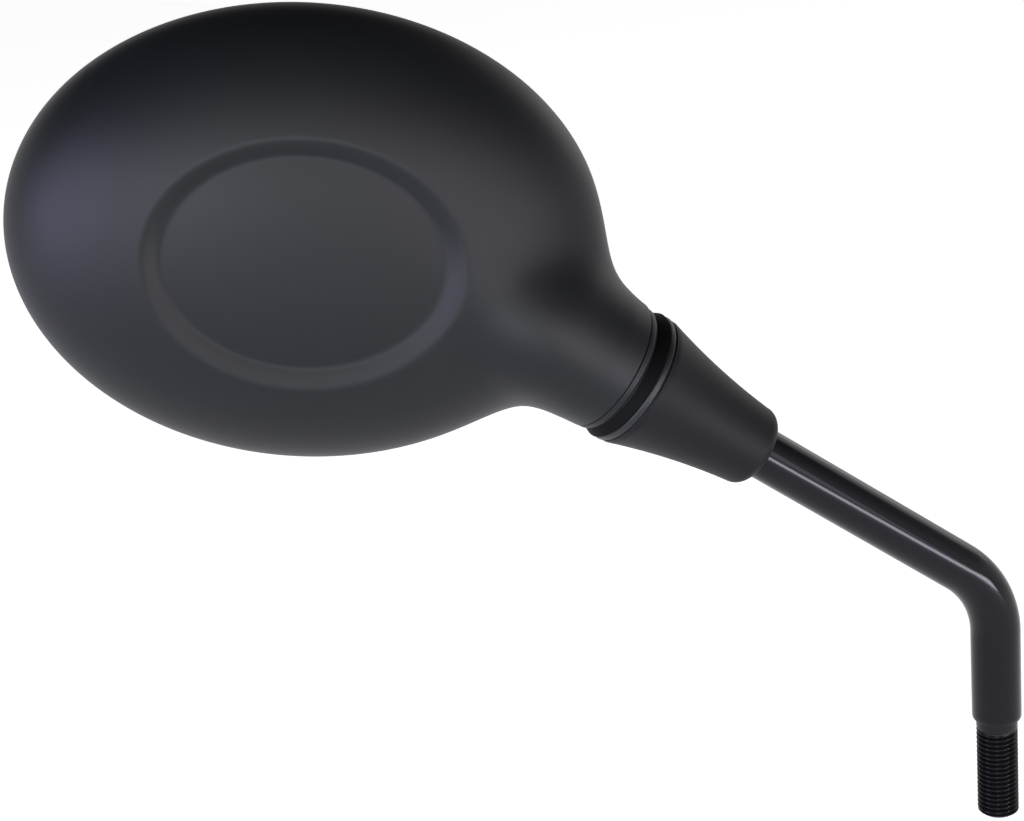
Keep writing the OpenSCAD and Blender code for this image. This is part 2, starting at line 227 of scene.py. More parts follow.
def arc(radius, start, end, count):
    """Profile points on a sphere round the ball's centre, at angles from the arm: radius times (sine, cosine)."""
    angle = np.linspace(start, end, count)
    return np.stack([radius * np.sin(angle), radius * np.cos(angle)], axis=1)


def rounded(corners, steps=5):
    """A closed outline of (x, y, radius) corners as points: each corner becomes an arc that meets both its sides
    smoothly, at a distance of radius times the tangent of half the turn."""
    corners = np.array(corners, dtype=float)
    p, r = corners[:, :2], corners[:, 2]
    before, after = unit(np.roll(p, 1, axis=0) - p), unit(np.roll(p, -1, axis=0) - p)
    half = np.maximum(np.arccos(np.clip((before * after).sum(axis=1), -1, 1)) / 2, 1e-3)
    reach = (r / np.tan(half))[:, None]
    middle = p + unit(before + after + 1e-12) * (r / np.sin(half))[:, None]
    start, end = p + before * reach, p + after * reach
    t = np.linspace(0, 1, steps)[:, None]
    out = []
    for k, radius in enumerate(r):
        spoke = (start[k] - middle[k]) * (1 - t) + (end[k] - middle[k]) * t
        out.append(middle[k] + unit(spoke) * radius if radius else p[k][None])
    return np.concatenate(out)


def show(mesh, body, slot, replaces, *materials):
    """Puts a finished mesh into the scene, riding on its body in place of its CAD node."""
    piece = bpy.data.objects.new(mesh.name, mesh)
    bpy.context.scene.collection.objects.link(piece)
    for finish_of in materials:
        mesh.materials.append(finish_of)
    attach(piece, body)
    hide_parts(replaces)


def second_where(mesh, test):
    """Gives the mesh's second material to the faces whose middles, in millimetres, pass the test."""
    middles = np.empty(len(mesh.polygons) * 3)
    mesh.polygons.foreach_get("center", middles)
    mesh.polygons.foreach_set("material_index", test(middles.reshape(-1, 3) / MM).astype(np.int32))


# Colours and materials


def linear(hex_colour):
    """An sRGB hex colour in linear light: c / 12.92 below 0.04045, else ((c + 0.055) / 1.055) to the power 2.4."""
    c = np.array([int(hex_colour[i:i + 2], 16) for i in (1, 3, 5)]) / 255
    return (*np.where(c <= 0.04045, c / 12.92, ((c + 0.055) / 1.055) ** 2.4), 1.0)


def node(tree, kind, settings=None, links=None):
    """Adds a node: settings are its attributes or, where the name is a socket's, that socket's value; links join
    its input sockets to other nodes' outputs."""
    n = tree.nodes.new(kind)
    for key, value in (settings or {}).items():
        if isinstance(key, str) and hasattr(n, key):
            setattr(n, key, value)
        else:
            n.inputs[key].default_value = value
    for key, source in (links or {}).items():
        tree.links.new(source, n.inputs[key])
    return n


def material(name):
    """A new material with nodes, emptied, and its tree."""
    m = bpy.data.materials.new(name)
    m.use_nodes = True
    m.node_tree.nodes.clear()
    return m, m.node_tree


def finish(tree, shader):
    """Joins a shader node to the material's output."""
    node(tree, "ShaderNodeOutputMaterial", links={"Surface": shader.outputs[0]})


def noise(tree, size_mm, detail):
    """A noise on the piece's own coordinates, whose patches are about as wide as the given size."""
    place = node(tree, "ShaderNodeTexCoord")
    n = node(tree, "ShaderNodeTexNoise", {"Scale": 1 / (size_mm * MM), "Detail": detail},
             {"Vector": place.outputs["Object"]})
    return n.outputs["Fac"]


def moulded(name, dark, light, rough_low, rough_high, grain_mm, grain_height, specular=0.5):
    """A plastic from a spark-eroded mould: a fine even grain as bump, with the colour and the roughness drifting a
    little over 30 mm, where the melt cooled unevenly. A real grain is under 0.1 mm and wouldn't show, so it is drawn
    at 0.2 mm or more."""
    m, tree = material(name)
    drift = noise(tree, 30, 3.0)
    colour = node(tree, "ShaderNodeMix", {"data_type": "RGBA", 6: linear(dark), 7: linear(light)}, {0: drift})
    rough = node(tree, "ShaderNodeMapRange", {"To Min": rough_low, "To Max": rough_high}, {"Value": drift})
    bump = node(tree, "ShaderNodeBump", {"Strength": 0.5, "Distance": grain_height * MM},
                {"Height": noise(tree, grain_mm, 2.0)})
    shader = node(tree, "ShaderNodeBsdfPrincipled", {"IOR": 1.5, "Specular IOR Level": specular},
                  {"Base Color": colour.outputs[2], "Roughness": rough.outputs[0], "Normal": bump.outputs[0]})
    finish(tree, shader)
    return m


def enamel(name, colour_hex, rough, peel_mm, peel_height):
    """Stoved black enamel on steel: smooth and glossy, with the faint orange peel of a sprayed coat and a gloss
    that varies a little over 20 mm."""
    m, tree = material(name)
    level = node(tree, "ShaderNodeMapRange", {"To Min": rough * 0.85, "To Max": rough * 1.2},
                 {"Value": noise(tree, 20, 2.0)})
    bump = node(tree, "ShaderNodeBump", {"Strength": 0.3, "Distance": peel_height * MM},
                {"Height": noise(tree, peel_mm, 1.0)})
    shader = node(tree, "ShaderNodeBsdfPrincipled",
                  {"Base Color": linear(colour_hex), "IOR": 1.5, "Specular IOR Level": 0.2},
                  {"Roughness": level.outputs[0], "Normal": bump.outputs[0]})
    finish(tree, shader)
    return m


def metal(name, dark, light, rough, grain_mm):
    """Bare, plated or silvered: a metallic surface whose tone and roughness vary together in patches as wide as the
    grain."""
    m, tree = material(name)
    grain = noise(tree, grain_mm, 3.0)
    colour = node(tree, "ShaderNodeMix", {"data_type": "RGBA", 6: linear(dark), 7: linear(light)}, {0: grain})
    level = node(tree, "ShaderNodeMapRange", {"To Min": rough * 0.8, "To Max": rough * 1.3}, {"Value": grain})
    shader = node(tree, "ShaderNodeBsdfPrincipled", {"Metallic": 1.0},
                  {"Base Color": colour.outputs[2], "Roughness": level.outputs[0]})
    finish(tree, shader)
    return m


# ABS from a fine-eroded mould: nearly black, with a soft sheen that takes on the lamps' faint blue
housing_abs = moulded("moulded_abs", "#101113", "#141517", 0.43, 0.49, 0.35, 0.012, 0.23)
# Nylon: darker and duller than the housing
cover_nylon = moulded("moulded_nylon", "#0e0e10", "#121214", 0.48, 0.54, 0.3, 0.01, 0.14)
# The same nylon at the mouth, smoother from a polished stretch of the mould, and coloured lighter than the cover: the
# lighter band is a painted highlight
lip_nylon_painted_highlight = moulded("nylon_lip_painted_highlight", "#141417", "#191a1d", 0.36, 0.42, 0.3, 0.006, 0.34)
# Zinc casting under thin black satin paint, coloured darker than the other blacks: painted shade for the gap between
# neck and cover that the dome sits in
dome_paint_painted_shade = moulded("satin_zinc_painted_shade", "#030303", "#050505", 0.6, 0.7, 0.5, 0.008, 0.08)
# Stoved enamel on the rod: black, with narrow bright lines along it
stem_enamel = enamel("black_enamel", "#0b0a0f", 0.1, 1.6, 0.004)
# Enamel on the thread, thinner and duller
thread_enamel = enamel("thread_enamel", "#0c0c0e", 0.3, 0.4, 0.01)
# Soft black rubber: matt, with a broad weak sheen
gasket_rubber = moulded("black_rubber", "#0e0e0f", "#131314", 0.6, 0.75, 0.2, 0.02, 0.4)
# Foam sheet: matt, with open cells that show as fine pits
pad_foam = moulded("black_foam", "#131314", "#202022", 0.85, 0.95, 0.5, 0.2, 0.2)
# Clear zinc plating: pale and fairly bright
plated_steel = metal("zinc_plated_steel", "#a8abb0", "#c4c7cc", 0.3, 0.4)
# Hardened and oiled spring steel: a darker grey
spring_steel = metal("spring_steel", "#6c6e72", "#85888c", 0.35, 0.4)
# Ground steel: middle grey and a little smoother
ground_steel = metal("ground_steel", "#8a8d92", "#a5a8ad", 0.28, 0.3)
# Dyed nylon of a locking ring: a clear blue
blue_nylon = moulded("blue_nylon", "#274f86", "#2f63a8", 0.4, 0.5, 0.4, 0.01)
# Undyed nylon: ivory and slightly waxy
ivory_nylon = moulded("natural_nylon", "#cfcbb9", "#ddd9ca", 0.4, 0.5, 0.4, 0.01)
# Silvered glass: a near-perfect mirror with a trace of blue
silver = metal("silvered_glass", "#dfe5ea", "#e6ebef", 0.015, 8.0)


# Stem


def stem_path(length):
    """Centre and direction of the stem's axis at a length from the shoulder: up the lower leg, round the bend by an
    angle of length over radius, and out along the arm."""
    out = unit(np.array([ARM[0], ARM[1], 0.0]))
    past = length - LEG_LEN
    angle = np.clip(past / BEND_R, 0, BEND_ANGLE)
    sine, cosine = np.sin(angle)[:, None], np.cos(angle)[:, None]
    on_bend = LEG_LEN * UP + BEND_R * (sine * UP + (1 - cosine) * out)
    straight = np.minimum(past, 0)[:, None] * UP + np.maximum(past - BEND_R * BEND_ANGLE, 0)[:, None] * ARM
    return on_bend + straight, cosine * UP + sine * out


def stem_length(height):
    """Length along the stem's axis, from the shoulder, of a height up the arm."""
    return LEG_LEN + BEND_R * BEND_ANGLE + np.linalg.norm(PIVOT - CORNER_H * UP) - BEND_CUT + height


def make_stem():
    """A circle carried along the stem's axis. Its radius follows the steps of the rod, less a helical cut on the
    foot: the thread's depth times a trapezium wave of (length - pitch * turn) / pitch, which fades out towards both
    ends."""
    foot = [(-THREAD_LEN, THREAD_R - 1.3), (-THREAD_LEN + 0.15, THREAD_R - 0.95), (-THREAD_LEN + 0.5, THREAD_R - 0.6)]
    thread = [(x, THREAD_R) for x in np.arange(-THREAD_LEN + 0.9, -0.3, THREAD_PITCH / 12)]
    shoulder = [(-0.02, THREAD_R - 0.05), (0, THREAD_R), (0, ROD_R - 0.45), (0.135, ROD_R - 0.135), (0.45, ROD_R)]
    top, spigot_top = stem_length(ROD_TOP), stem_length(SPIGOT_TOP)
    rod = [(x, ROD_R) for x in np.arange(1.5, top - 1, 1.0)] + [(top - 0.5, ROD_R), (top, ROD_R - 0.5)]
    spigot = [(top, SPIGOT_R), (spigot_top - 0.5, SPIGOT_R), (spigot_top, SPIGOT_R - 0.5)]
    length, radius = np.array(foot + thread + shoulder + rod + spigot).T
    centre, direction = stem_path(length)
    across = unit(np.cross(UP, ARM))
    angle = circle(96)[:, None]
    wave = np.abs(((length[:, None] - THREAD_PITCH * angle.T / (2 * np.pi)) / THREAD_PITCH) % 1 - 0.5) * 2
    cut = np.clip((wave - THREAD_FLAT) / (1 - 2 * THREAD_FLAT), 0, 1) * THREAD_DEPTH
    # The helix runs in over the foot's first turn and out below the shoulder
    fade = ease((length + THREAD_LEN - 0.6) / 1.2) * ease((-2.2 - length) / 1.4)
    reach = (radius[:, None] - cut * fade[:, None])[..., None]
    spoke = np.cos(angle) * across + np.sin(angle)[None] * np.cross(direction, across)[:, None]
    mesh = capped("stem_rod", centre[:, None] + reach * spoke, centre[[0, -1]])
    show(mesh, "stem", "stem", "stem", stem_enamel, thread_enamel)
    second_where(mesh, lambda middle: middle[:, 2] < -0.1)


# Ball joint and cone cover


def make_cone_cover():
    """A closed outline turned about the arm: the side is a straight taper less four times the sag times t (1 - t),
    and the lip at the mouth is a rounded band beyond a fine groove."""
    t = np.linspace(0, 1, 40)
    side_r = MOUTH_R + (TAIL_R - MOUTH_R) * t - SIDE_SAG * 4 * t * (1 - t)
    side = np.stack([side_r, MOUTH_Z - t * (CONE_LEN - TAIL_ROUND)], axis=1)
    a = np.radians(np.linspace(8, 90, 12))
    tail = np.stack([TAIL_R - TAIL_ROUND * (1 - np.cos(a)), TAIL_Z + TAIL_ROUND * (1 - np.sin(a))], axis=1)
    # The lip's inner edge stands just off the dome's skirt and reaches down past the mouth
    well_z = MOUTH_Z - 1.1
    lip = rounded([(MOUTH_R - 0.02, MOUTH_Z, 0.3), (MOUTH_R - 0.6, MOUTH_Z + 0.35, 0.18),
                   (MOUTH_R - 0.02, MOUTH_Z + 0.85, 0.3), (MOUTH_R - 0.16, BEAD_Z - 0.55, 0.5),
                   (MOUTH_R - 0.75, BEAD_Z, 0.3), (SKIRT_R + 0.1, BEAD_Z, 0.05), (SKIRT_R + 0.1, well_z, 0.1)])
    inside = np.array([(ROD_R + 0.45, TAIL_Z), (ROD_R + PLAY, TAIL_Z + 0.4), (ROD_R + PLAY, TAIL_Z + 4.5),
                       (TAIL_R - CONE_WALL + 0.6, TAIL_Z + 6.5), (MOUTH_R - CONE_WALL - 0.6, well_z)])
    mesh = turned("cone_sleeve", np.concatenate([side[1:], tail, inside, lip[::-1]]))
    # The faces past the mouth's groove take the lip's material, whose lighter colour is a painted highlight
    show(mesh, "stem", "cone_cover", "cone_cover", cover_nylon, lip_nylon_painted_highlight)
    second_where(mesh, lambda middle: (middle - PIVOT) @ ARM > MOUTH_Z + 0.6)


def make_dome():
    """The ball's cap, an arc of the ball's radius above the skirt, on its hub round the rod."""
    cap = arc(BALL_R, math.asin((SPIGOT_R + PLAY) / BALL_R), math.acos(CAP_Z / BALL_R), 60)
    skirt_z = MOUTH_Z - 0.9
    under = [(SKIRT_R, CAP_Z), (SKIRT_R, skirt_z), (HUB_R, skirt_z), (HUB_R, HUB_Z), (ROD_R + PLAY, HUB_Z),
             (ROD_R + PLAY, ROD_TOP + PLAY), (SPIGOT_R + PLAY, ROD_TOP + PLAY)]
    # The dome's near-black colour is partly its black paint and partly painted shade for the gap it sits in
    show(turned("ball_dome", np.concatenate([cap, under])), "stem", "pivot_dome", "pivot_dome", dome_paint_painted_shade)


def make_cup():
    """The cup's lip with its rounded outer edge and the fine seam groove, its plug in the neck, and inside it the
    washer's relief and the ball's seat, both arcs round the ball's centre."""
    plug = PLUG_R - PLAY
    end_z = NECK_Z - PLAY
    lip = rounded([(NECK_R - 0.75, LIP_Z, 0.25), (NECK_R, LIP_Z + 0.9, 0.8), (NECK_R, NECK_Z - 0.25, 0.12),
                   (NECK_R - 0.9, NECK_Z - 0.2, 0.1), (NECK_R - 0.9, end_z, 0.05), (plug, end_z, 0.05)], 6)
    crown = arc(WEB_R, math.asin(plug / WEB_R), math.asin(WEB_HOLE_R / WEB_R), 16)
    relief = arc(CUP_R, math.asin(WEB_HOLE_R / CUP_R), math.asin(SEAT_HOLE_R / CUP_R), 12)
    seat = arc(SEAT_R, math.asin(SEAT_HOLE_R / SEAT_R), math.acos(LIP_Z / SEAT_R), 24)
    profile = np.concatenate([lip, crown, relief, seat])
    show(turned("cup_ring", profile), "head", "socket_cup", "socket_cup", housing_abs)


# Housing


# The head's frame: a turn about y by the roll, then a shift. The neck's axis is the arm, seen in that frame
ROLL_COS, ROLL_SIN = math.cos(HEAD_ROLL), math.sin(HEAD_ROLL)
HEAD_TURN = np.array([[ROLL_COS, 0, ROLL_SIN], [0, 1, 0], [-ROLL_SIN, 0, ROLL_COS]])
AXIS_DIR = ARM @ HEAD_TURN
AXIS_FROM = (PIVOT - HEAD_PLACE) @ HEAD_TURN
ACROSS_A = unit(np.cross(AXIS_DIR, [0.0, 1.0, 0.0]))
ACROSS_B = np.cross(AXIS_DIR, ACROSS_A)
# Planes across the neck's axis cut an ellipsoid of the bowl's half sizes in ovals whose middles lie on one line: h
# from its centre the middle is at SPREAD times h over REACH squared, and the last plane touches it at h = REACH
SPREAD = AXIS_DIR * np.array([HALF_W, BACK_DEPTH, HALF_H]) ** 2
REACH = math.sqrt(SPREAD @ AXIS_DIR)
CENTRE_S = -AXIS_FROM @ AXIS_DIR


def from_head(p):
    """A point of the head's frame in the part's frame: turned by the roll and shifted to the head's place."""
    return p @ HEAD_TURN.T + HEAD_PLACE


def bowl_gap(p):
    """Distance from p to the bowl: |p| (1 - 1 / level), where level is the n-norm of the oval's share and the
    depth's."""
    across = np.hypot(p[..., 0] / HALF_W, p[..., 2] / HALF_H)
    deep = np.abs(p[..., 1]) / np.where(p[..., 1] < 0, BACK_DEPTH, FRONT_DEPTH)
    level = np.maximum((across ** CURVE_N + deep ** CURVE_N) ** (1 / CURVE_N), 0.01)
    return np.linalg.norm(p, axis=-1) * (1 - 1 / level)


def neck_gap(p):
    """Distance from p to the neck: from its axis, less a radius that falls by the taper's rate and, past the fade's
    height, by the fade's. The fade sets in on a parabola: (past + soft) squared over 4 soft."""
    v = p - AXIS_FROM
    s = v @ AXIS_DIR
    past = s - FADE_Z
    fade = np.where(np.abs(past) < FADE_SOFT, (past + FADE_SOFT) ** 2 / (4 * FADE_SOFT), np.maximum(0, past))
    radius = NECK_R - TAPER_RATE * np.maximum(0, s - TAPER_Z) - FADE_RATE * fade
    return np.linalg.norm(v - s[..., None] * AXIS_DIR, axis=-1) - radius


def shell_gap(p):
    """The lesser of both distances, less h cubed times a sixth of the blend, where h = 1 - |difference| / blend."""
    bowl, neck = bowl_gap(p), neck_gap(p)
    h = np.maximum(BLEND - np.abs(bowl - neck), 0) / BLEND
    return np.minimum(bowl, neck) - h ** 3 * BLEND / 6


def halved(low, high, holds, times):
    """Both sides of the place between low and high up to which a test holds: the interval is halved so many times,
    and the half that the place is in is kept."""
    for _ in range(times):
        middle = (low + high) / 2
        yes = holds(middle)
        low, high = np.where(yes, middle, low), np.where(yes, high, middle)
    return low, high


def ray_length(start, direction):
    """How far each ray runs inside the shell, whose outline no ray leaves later than 1.6 half widths on."""
    zero = np.zeros(np.broadcast_shapes(start.shape, direction.shape)[:-1])
    low, high = halved(zero, zero + 1.6 * HALF_W, lambda t: shell_gap(start + t[..., None] * direction) < 0, 26)
    return (low + high) / 2


def spine(s):
    """The line that the rings are centred on: the neck's axis, which turns smoothly into the middles of the bowl's
    ovals."""
    on_axis = AXIS_FROM + s[:, None] * AXIS_DIR
    in_bowl = SPREAD * (s[:, None] - CENTRE_S) / REACH ** 2
    share = ease((s - SPINE_Z) / SPINE_TURN)[:, None]
    return on_axis * (1 - share) + in_bowl * share


def spokes(angle):
    """Unit vectors across the neck's axis at the given angles."""
    return np.cos(angle)[..., None] * ACROSS_A + np.sin(angle)[..., None] * ACROSS_B


def on_shell(centre, angle):
    """The shell's points straight out from the centres at the given angles."""
    spoke = spokes(angle)
    return centre + ray_length(centre, spoke)[..., None] * spoke


def foremost(s, count=720):
    """Each ring's foremost point: its angle and its height over the widest plane."""
    angle = np.linspace(-np.pi, 0, count)
    height = on_shell(spine(s)[:, None], angle[None])[..., 1]
    return angle[height.argmax(axis=1)], height.max(axis=1)


def crossing(s, front, side):
    """The angle at which a ring, followed from its foremost point one way round, sinks below the edge's plane."""
    centre = spine(s)
    low, high = halved(np.zeros(len(s)), np.full(len(s), np.pi * 0.8),
                       lambda turn: on_shell(centre, front + side * turn)[:, 1] > EDGE_Y, 30)
    return front + side * (low + high) / 2


def opening_end(closed):
    """The last station, from a closed one towards the bowl's middle, whose ring stays below the edge's plane."""
    return halved(closed, CENTRE_S, lambda s: foremost(np.array([s]), 240)[1][0] <= EDGE_Y, 22)[0]


def pressed(p):
    """The recess: a point inside the outer oval sinks towards the glass by the depth times a ramp with rounded
    ends. The ramp's share is a / (a + b), where a is 1 less the outer oval's level and b the inner one's less 1."""
    outer, inner = (np.hypot((p[..., 0] - x) / w, (p[..., 2] - z) / h) - 1
                    for x, z, w, h in (RECESS_OUT, RECESS_IN))
    t = np.where(inner < 0, 1, np.clip(-outer / np.maximum(inner - outer, 1e-6), 0, 1))
    soft = RECESS_SOFT
    starting, ending = t * t / (2 * soft), 1 - soft - (1 - t) ** 2 / (2 * soft)
    ramp = np.where(t < soft, starting, np.where(t > 1 - soft, ending, t - soft / 2))
    moved = p.copy()
    moved[..., 1] += np.where(p[..., 1] < RECESS_Y, RECESS_D * ramp / (1 - soft), 0)
    return moved


def stations():
    """Heights up the arm of the housing's rings, closest together where the shell curves most, and which of the
    rings are open."""
    # The first ring stands just off the neck's end and the last just short of the tip's pole
    start, end = NECK_Z + 0.25, CENTRE_S + REACH - 0.002
    near, far = opening_end(NECK_Z), opening_end(CENTRE_S + REACH - 0.05)
    neck = start + (near - start) * np.linspace(0, 1, 34)
    middle = near + (far - near) * (1 - np.cos(np.linspace(0, np.pi, 211)[1:-1])) / 2
    tip = far + (end - far) * np.sin(np.linspace(0, np.pi / 2, 34))[:-1]
    opened = np.repeat([False, True, False], [len(neck), len(middle), len(tip)])
    return np.concatenate([neck, middle, tip]), opened


def foot_rings(spoke):
    """The neck's end: a small edge, the counterbore for the cup's plug, and the bore that leaves the clamp stack
    room. Each ring is axis + height * direction + radius * spoke."""
    steps = ((NECK_Z + 0.14, NECK_R - 0.03), (NECK_Z + 0.06, NECK_R - 0.1), (NECK_Z + PLAY, NECK_R - 0.2),
             (NECK_Z + PLAY, PLUG_R), (STEP_Z, PLUG_R), (STEP_Z, BORE_R), (BORE_TOP, BORE_R), (BORE_TOP, 2.0))
    return [AXIS_FROM + height * AXIS_DIR + radius * spoke for height, radius in steps]


def inside_rings(edge):
    """The rim's quarter round, the pocket that the glass lies in, and the inside of the bowl: an oval at a share q
    of the pocket's size lies a wall's thickness inside the bowl, at depth * (1 - share ** n) ** (1 / n)."""
    x, z = edge[:, 0], edge[:, 2]
    inward = -unit(np.stack([x / HALF_W ** 2, 0 * x, z / HALF_H ** 2], axis=1))
    turn = np.arctan2(z / POCKET_H, x / POCKET_W)

    def oval(q, level, grow=0.0):
        """The pocket's oval at a share q of its size and at a level over the widest plane, at the edge's angles."""
        across, up = (POCKET_W + grow) * q * np.cos(turn), (POCKET_H + grow) * q * np.sin(turn)
        return np.stack([across, np.full(len(turn), level), up], axis=1)

    rings = []
    for phi in np.radians([22.5, 45, 67.5, 90]):
        rings.append(edge + inward * RIM_ROUND * (1 - math.cos(phi)) + np.array([0, RIM_ROUND * math.sin(phi), 0]))
    rings += [oval(1, RIM_Y, 0.3), oval(1, RIM_Y - 0.3), oval(1, POCKET_Y), oval(0.84, POCKET_Y)]
    for q in (0.84, 0.74, 0.6, 0.4, 0.2):
        flat = oval(q, 0.0)
        share = np.clip(np.hypot(flat[:, 0] / HALF_W, flat[:, 2] / HALF_H), 0, 1)
        depth = BACK_DEPTH - WALL - RECESS_D * (q < 0.5)
        flat[:, 1] = -depth * (1 - share ** CURVE_N) ** (1 / CURVE_N)
        rings.append(flat)
    return rings


def sewn(at, count, rings, pole):
    """Rings joined one after another to the closed row of points that at numbers, and shut by a pole: their points,
    numbered from count, with the quads and triangles."""
    rows = np.concatenate([[at], count + np.arange(len(rings) * len(at)).reshape(len(rings), -1)])
    after = np.roll(rows, -1, axis=1)
    quads = np.stack([rows[:-1], rows[1:], after[1:], after[:-1]], axis=-1).reshape(-1, 4)
    tris = np.stack([rows[-1], np.full(len(at), count + rows[1:].size), after[-1]], axis=-1)
    return np.concatenate([*rings, [pole]]), quads, tris


def make_housing():
    """Rings round the spine from the neck's end to the bowl's far tip. A ring that passes the edge's plane is open:
    it starts and ends on that plane, and the loop of those ends carries on inwards as the rim, the pocket and the
    inside. Closed rings start and end on one point."""
    around = 280
    s, opened = stations()
    front = foremost(s)[0]
    first, last = front.copy(), front + 2 * np.pi
    first[opened] = crossing(s[opened], front[opened], 1)
    last[opened] = crossing(s[opened], front[opened], -1) + 2 * np.pi
    angle = first[:, None] + (last - first)[:, None] * np.linspace(0, 1, around + 1)
    rows = pressed(on_shell(spine(s)[:, None], angle))
    rows[opened, 0, 1] = rows[opened, -1, 1] = EDGE_Y
    grid = np.arange(angle.size).reshape(angle.shape)
    grid[~opened, -1] = grid[~opened, 0]
    skin = np.stack([grid[:-1, :-1], grid[:-1, 1:], grid[1:, 1:], grid[1:, :-1]], axis=-1).reshape(-1, 4)
    tip = angle.size
    tip_fan = np.stack([grid[-1, :-1], grid[-1, 1:], np.full(around, tip)], axis=-1)
    points = np.concatenate([rows.reshape(-1, 3), [SPREAD / REACH]])

    foot_points, foot_quads, foot_fan = sewn(grid[0, :-1], len(points), foot_rings(spokes(angle[0, :-1])),
                                             AXIS_FROM + BORE_TOP * AXIS_DIR)
    points = np.concatenate([points, foot_points])

    # The edge's loop, once round: down one side of the opening and back up the other
    a = opened.argmax()
    b = a + opened.sum()
    loop = np.concatenate([grid[a - 1:b + 1, 0], grid[a:b, -1][::-1]])
    in_points, in_quads, in_fan = sewn(loop, len(points), inside_rings(points[loop]),
                                       np.array([0.0, -BACK_DEPTH + WALL + RECESS_D, 0.0]))
    mesh = mesh_from("mirror_housing", from_head(np.concatenate([points, in_points])),
                     np.concatenate([skin, foot_quads, in_quads]), np.concatenate([tip_fan, foot_fan, in_fan]))
    show(mesh, "head", "housing", "housing", housing_abs)


# Glass and gasket


def oval_rows(half_w, half_h, y, sides=240):
    """Ovals of the given half widths, half heights and depths, one row each, in the part's frame."""
    angle = circle(sides)
    y = np.broadcast_to(y, (len(half_w), sides))
    return from_head(np.stack([half_w[:, None] * np.cos(angle), y, half_h[:, None] * np.sin(angle)], axis=-1))


def make_glass():
    """A slice of a ball's skin: both faces rise by the rise times (1 - r squared / half width squared)."""
    top = GLASS_BACK + GLASS_T
    back, face = np.linspace(0.02, 1, 24), np.linspace(0.99, 0.02, 48)
    # The ground edge between the faces takes two more ovals
    q = np.concatenate([back, [1, 0.996], face])[:, None]
    base = np.concatenate([np.full(len(back), GLASS_BACK), [top - 0.25, top - 0.05], np.full(len(face), top)])
    angle = circle(240)
    r = np.hypot(GLASS_W * q * np.cos(angle), GLASS_H * q * np.sin(angle))
    y = base[:, None] + GLASS_RISE * (1 - (r / GLASS_W) ** 2)
    poles = from_head(np.array([[0, GLASS_BACK + GLASS_RISE, 0], [0, top + GLASS_RISE, 0]]))
    mesh = capped("mirror_pane", oval_rows(GLASS_W * q[:, 0], GLASS_H * q[:, 0], y), poles)
    show(mesh, "head", "mirror_glass", "mirror_glass", silver)


def make_gasket():
    """A rounded lip profile carried round the glass: each profile point is an oval that much narrower."""
    lip = GLASS_BACK + GLASS_T + GLASS_RISE * (1 - ((GLASS_H - GASKET_LIP) / GLASS_W) ** 2) + PLAY
    foot = GLASS_BACK - 0.5
    inner = 1.6 + GASKET_LIP
    inset, y = rounded([(PLAY, foot, 0.1), (PLAY, lip + 0.7, 0.45), (inner, lip + 0.7, 0.3), (inner, lip, 0.1),
                        (1.55, lip, 0.0), (1.55, foot, 0.1)]).T
    rows = oval_rows(POCKET_W - inset, POCKET_H - inset, y[:, None])
    mesh = mesh_from("gasket_lip", rows.reshape(-1, 3), net(*rows.shape[:2], wrap_rows=True))
    show(mesh, "head", "rim_gasket", "rim_gasket", gasket_rubber)


def dress_inner_nodes():
    """Gives the carried-over solids their finishes."""
    finishes = {"dome_pin": ground_steel, "pressure_washer": ground_steel, "disc_springs": spring_steel,
                "spring_washer": plated_steel, "lock_nut": plated_steel, "nut_insert": blue_nylon,
                "friction_liner": ivory_nylon, "carrier_plate": cover_nylon, "carrier_screws": plated_steel,
                "foam_pad": pad_foam}
    for name, finish_of in finishes.items():
        mesh = frame["nodes"][name].data
        mesh.materials.clear()
        mesh.materials.append(finish_of)


# Studio, in metres


HEAD_AT = tuple(HEAD_PLACE * MM)
LEG_AT = tuple((PIVOT - 60 * ARM) * MM)
# Name, place, what it shines at, width, height, radiance and colour of each lamp
LAMPS = (
    ("left_softbox", (-1.08, -0.42, 0.22), HEAD_AT, 0.5, 0.5, 7.0, "#cecbff"),
    ("left_front_softbox", (-0.95, -0.75, 0.25), HEAD_AT, 0.5, 0.5, 5.5, "#dbe2ff"),
    ("front_left_softbox", (-0.6, -1.1, 0.25), HEAD_AT, 0.5, 0.5, 7.2, "#ebf8ff"),
    ("front_softbox", (-0.15, -1.25, 0.25), HEAD_AT, 0.5, 0.5, 2.2, "#ebf8ff"),
    ("high_front_softbox", (-0.15, -1.05, 0.65), HEAD_AT, 0.5, 0.4, 2.0, "#fff9df"),
    ("front_right_softbox", (0.3, -1.15, 0.25), HEAD_AT, 0.5, 0.5, 5.2, "#fef6ff"),
    ("right_front_softbox", (0.7, -0.85, 0.25), HEAD_AT, 0.5, 0.5, 2.6, "#f1e9ff"),
    ("back_softbox", (0.6, 0.6, 0.45), HEAD_AT, 0.6, 0.6, 0.8, "#ffffff"),
    ("low_right_strip", (0.17, -0.24, 0.0), LEG_AT, 0.3, 0.04, 18.0, "#eef0ff"),
)
FLOOR_HALF = 4.0
# Just below the stem's foot, so that the two faces don't share a plane
FLOOR_Z = -(THREAD_LEN + 0.02) * MM
CAMERA_AT = (-0.1108, -0.519349, 0.292112)
CAMERA_PITCH = math.radians(21.146)
CAMERA_ROLL = math.radians(-5.348)
WHITE = (1, 1, 1, 1)


def seen_rays(tree):
    """1 for rays from the camera, from a reflection or through glass, and 0 for rays that only carry light."""
    path = node(tree, "ShaderNodeLightPath")
    first = node(tree, "ShaderNodeMath", {"operation": "MAXIMUM"},
                 {0: path.outputs["Is Camera Ray"], 1: path.outputs["Is Glossy Ray"]})
    both = node(tree, "ShaderNodeMath", {"operation": "MAXIMUM"},
                {0: first.outputs[0], 1: path.outputs["Is Transmission Ray"]})
    return both.outputs[0]


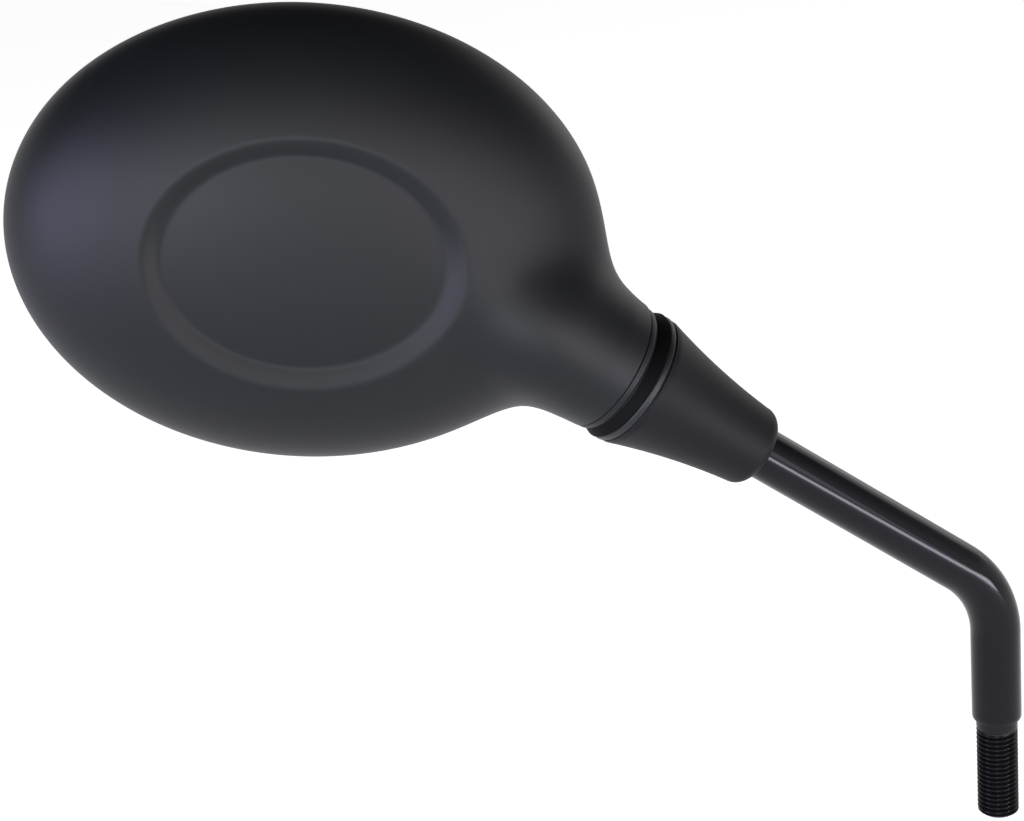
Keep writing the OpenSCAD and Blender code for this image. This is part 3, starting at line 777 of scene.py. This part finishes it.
def make_floor():
    """A pale sheet at the foot's end. The camera and reflections see it a little brighter than it is lit."""
    mesh = bpy.data.meshes.new("floor")
    corners = [(x * FLOOR_HALF, y * FLOOR_HALF, FLOOR_Z) for x, y in ((-1, -1), (1, -1), (1, 1), (-1, 1))]
    mesh.from_pydata(corners, [], [(0, 1, 2, 3)])
    floor = bpy.data.objects.new("floor", mesh)
    bpy.context.scene.collection.objects.link(floor)
    m, tree = material("pale_floor")
    paint = node(tree, "ShaderNodeBsdfDiffuse", {"Color": linear("#dcdcdc")})
    glow = node(tree, "ShaderNodeEmission", {"Strength": 0.9})
    both = node(tree, "ShaderNodeAddShader", links={0: paint.outputs[0], 1: glow.outputs[0]})
    mix = node(tree, "ShaderNodeMixShader", links={0: seen_rays(tree), 1: paint.outputs[0], 2: both.outputs[0]})
    finish(tree, mix)
    mesh.materials.append(m)


def lamp(name, place, target, width, height, radiance, colour):
    """An area lamp of a given radiance: its power is radiance times pi times its area."""
    light = bpy.data.lights.new(name, "AREA")
    light.shape = "RECTANGLE"
    light.size, light.size_y = width, height
    light.energy = radiance * math.pi * width * height
    light.color = linear(colour)[:3]
    item = bpy.data.objects.new(name, light)
    item.location = place
    item.rotation_euler = (Vector(target) - Vector(place)).to_track_quat("-Z", "Y").to_euler()
    item.visible_camera = False
    bpy.context.scene.collection.objects.link(item)


def make_world():
    """A white sweep under a dark ceiling, to the camera and in reflections, and a plain dim grey as light."""
    world = bpy.data.worlds.new("studio")
    bpy.context.scene.world = world
    world.use_nodes = True
    tree = world.node_tree
    tree.nodes.clear()
    place = node(tree, "ShaderNodeTexCoord")
    height = node(tree, "ShaderNodeSeparateXYZ", links={0: place.outputs["Generated"]})
    level = node(tree, "ShaderNodeMapRange", {"From Min": 0.17, "From Max": 0.45, "To Min": 1.0, "To Max": 0.05},
                 {"Value": height.outputs["Z"]})
    seen = node(tree, "ShaderNodeBackground", {"Color": WHITE}, {"Strength": level.outputs[0]})
    dim = node(tree, "ShaderNodeBackground", {"Color": WHITE, "Strength": 0.03})
    mix = node(tree, "ShaderNodeMixShader", links={0: seen_rays(tree), 1: dim.outputs[0], 2: seen.outputs[0]})
    node(tree, "ShaderNodeOutputWorld", links={"Surface": mix.outputs[0]})


def make_camera():
    """The photograph's view: level with +Y, looking down by the pitch and turned about its own line by the roll."""
    data = bpy.data.cameras.new("camera")
    data.lens, data.sensor_width = 85.0, 36.0
    data.clip_start, data.clip_end = 0.01, 20.0
    camera = bpy.data.objects.new("camera", data)
    camera.matrix_world = (Matrix.Translation(Vector(CAMERA_AT))
                           @ Matrix.Rotation(math.pi / 2 - CAMERA_PITCH, 4, "X")
                           @ Matrix.Rotation(CAMERA_ROLL, 4, "Z"))
    bpy.context.scene.collection.objects.link(camera)
    bpy.context.scene.camera = camera


make_camera()
make_world()
make_floor()
for settings in LAMPS:
    lamp(*settings)
make_stem()
make_cone_cover()
make_dome()
make_cup()
make_housing()
make_glass()
make_gasket()
dress_inner_nodes()

bpy.context.scene.view_settings.view_transform = "Standard"
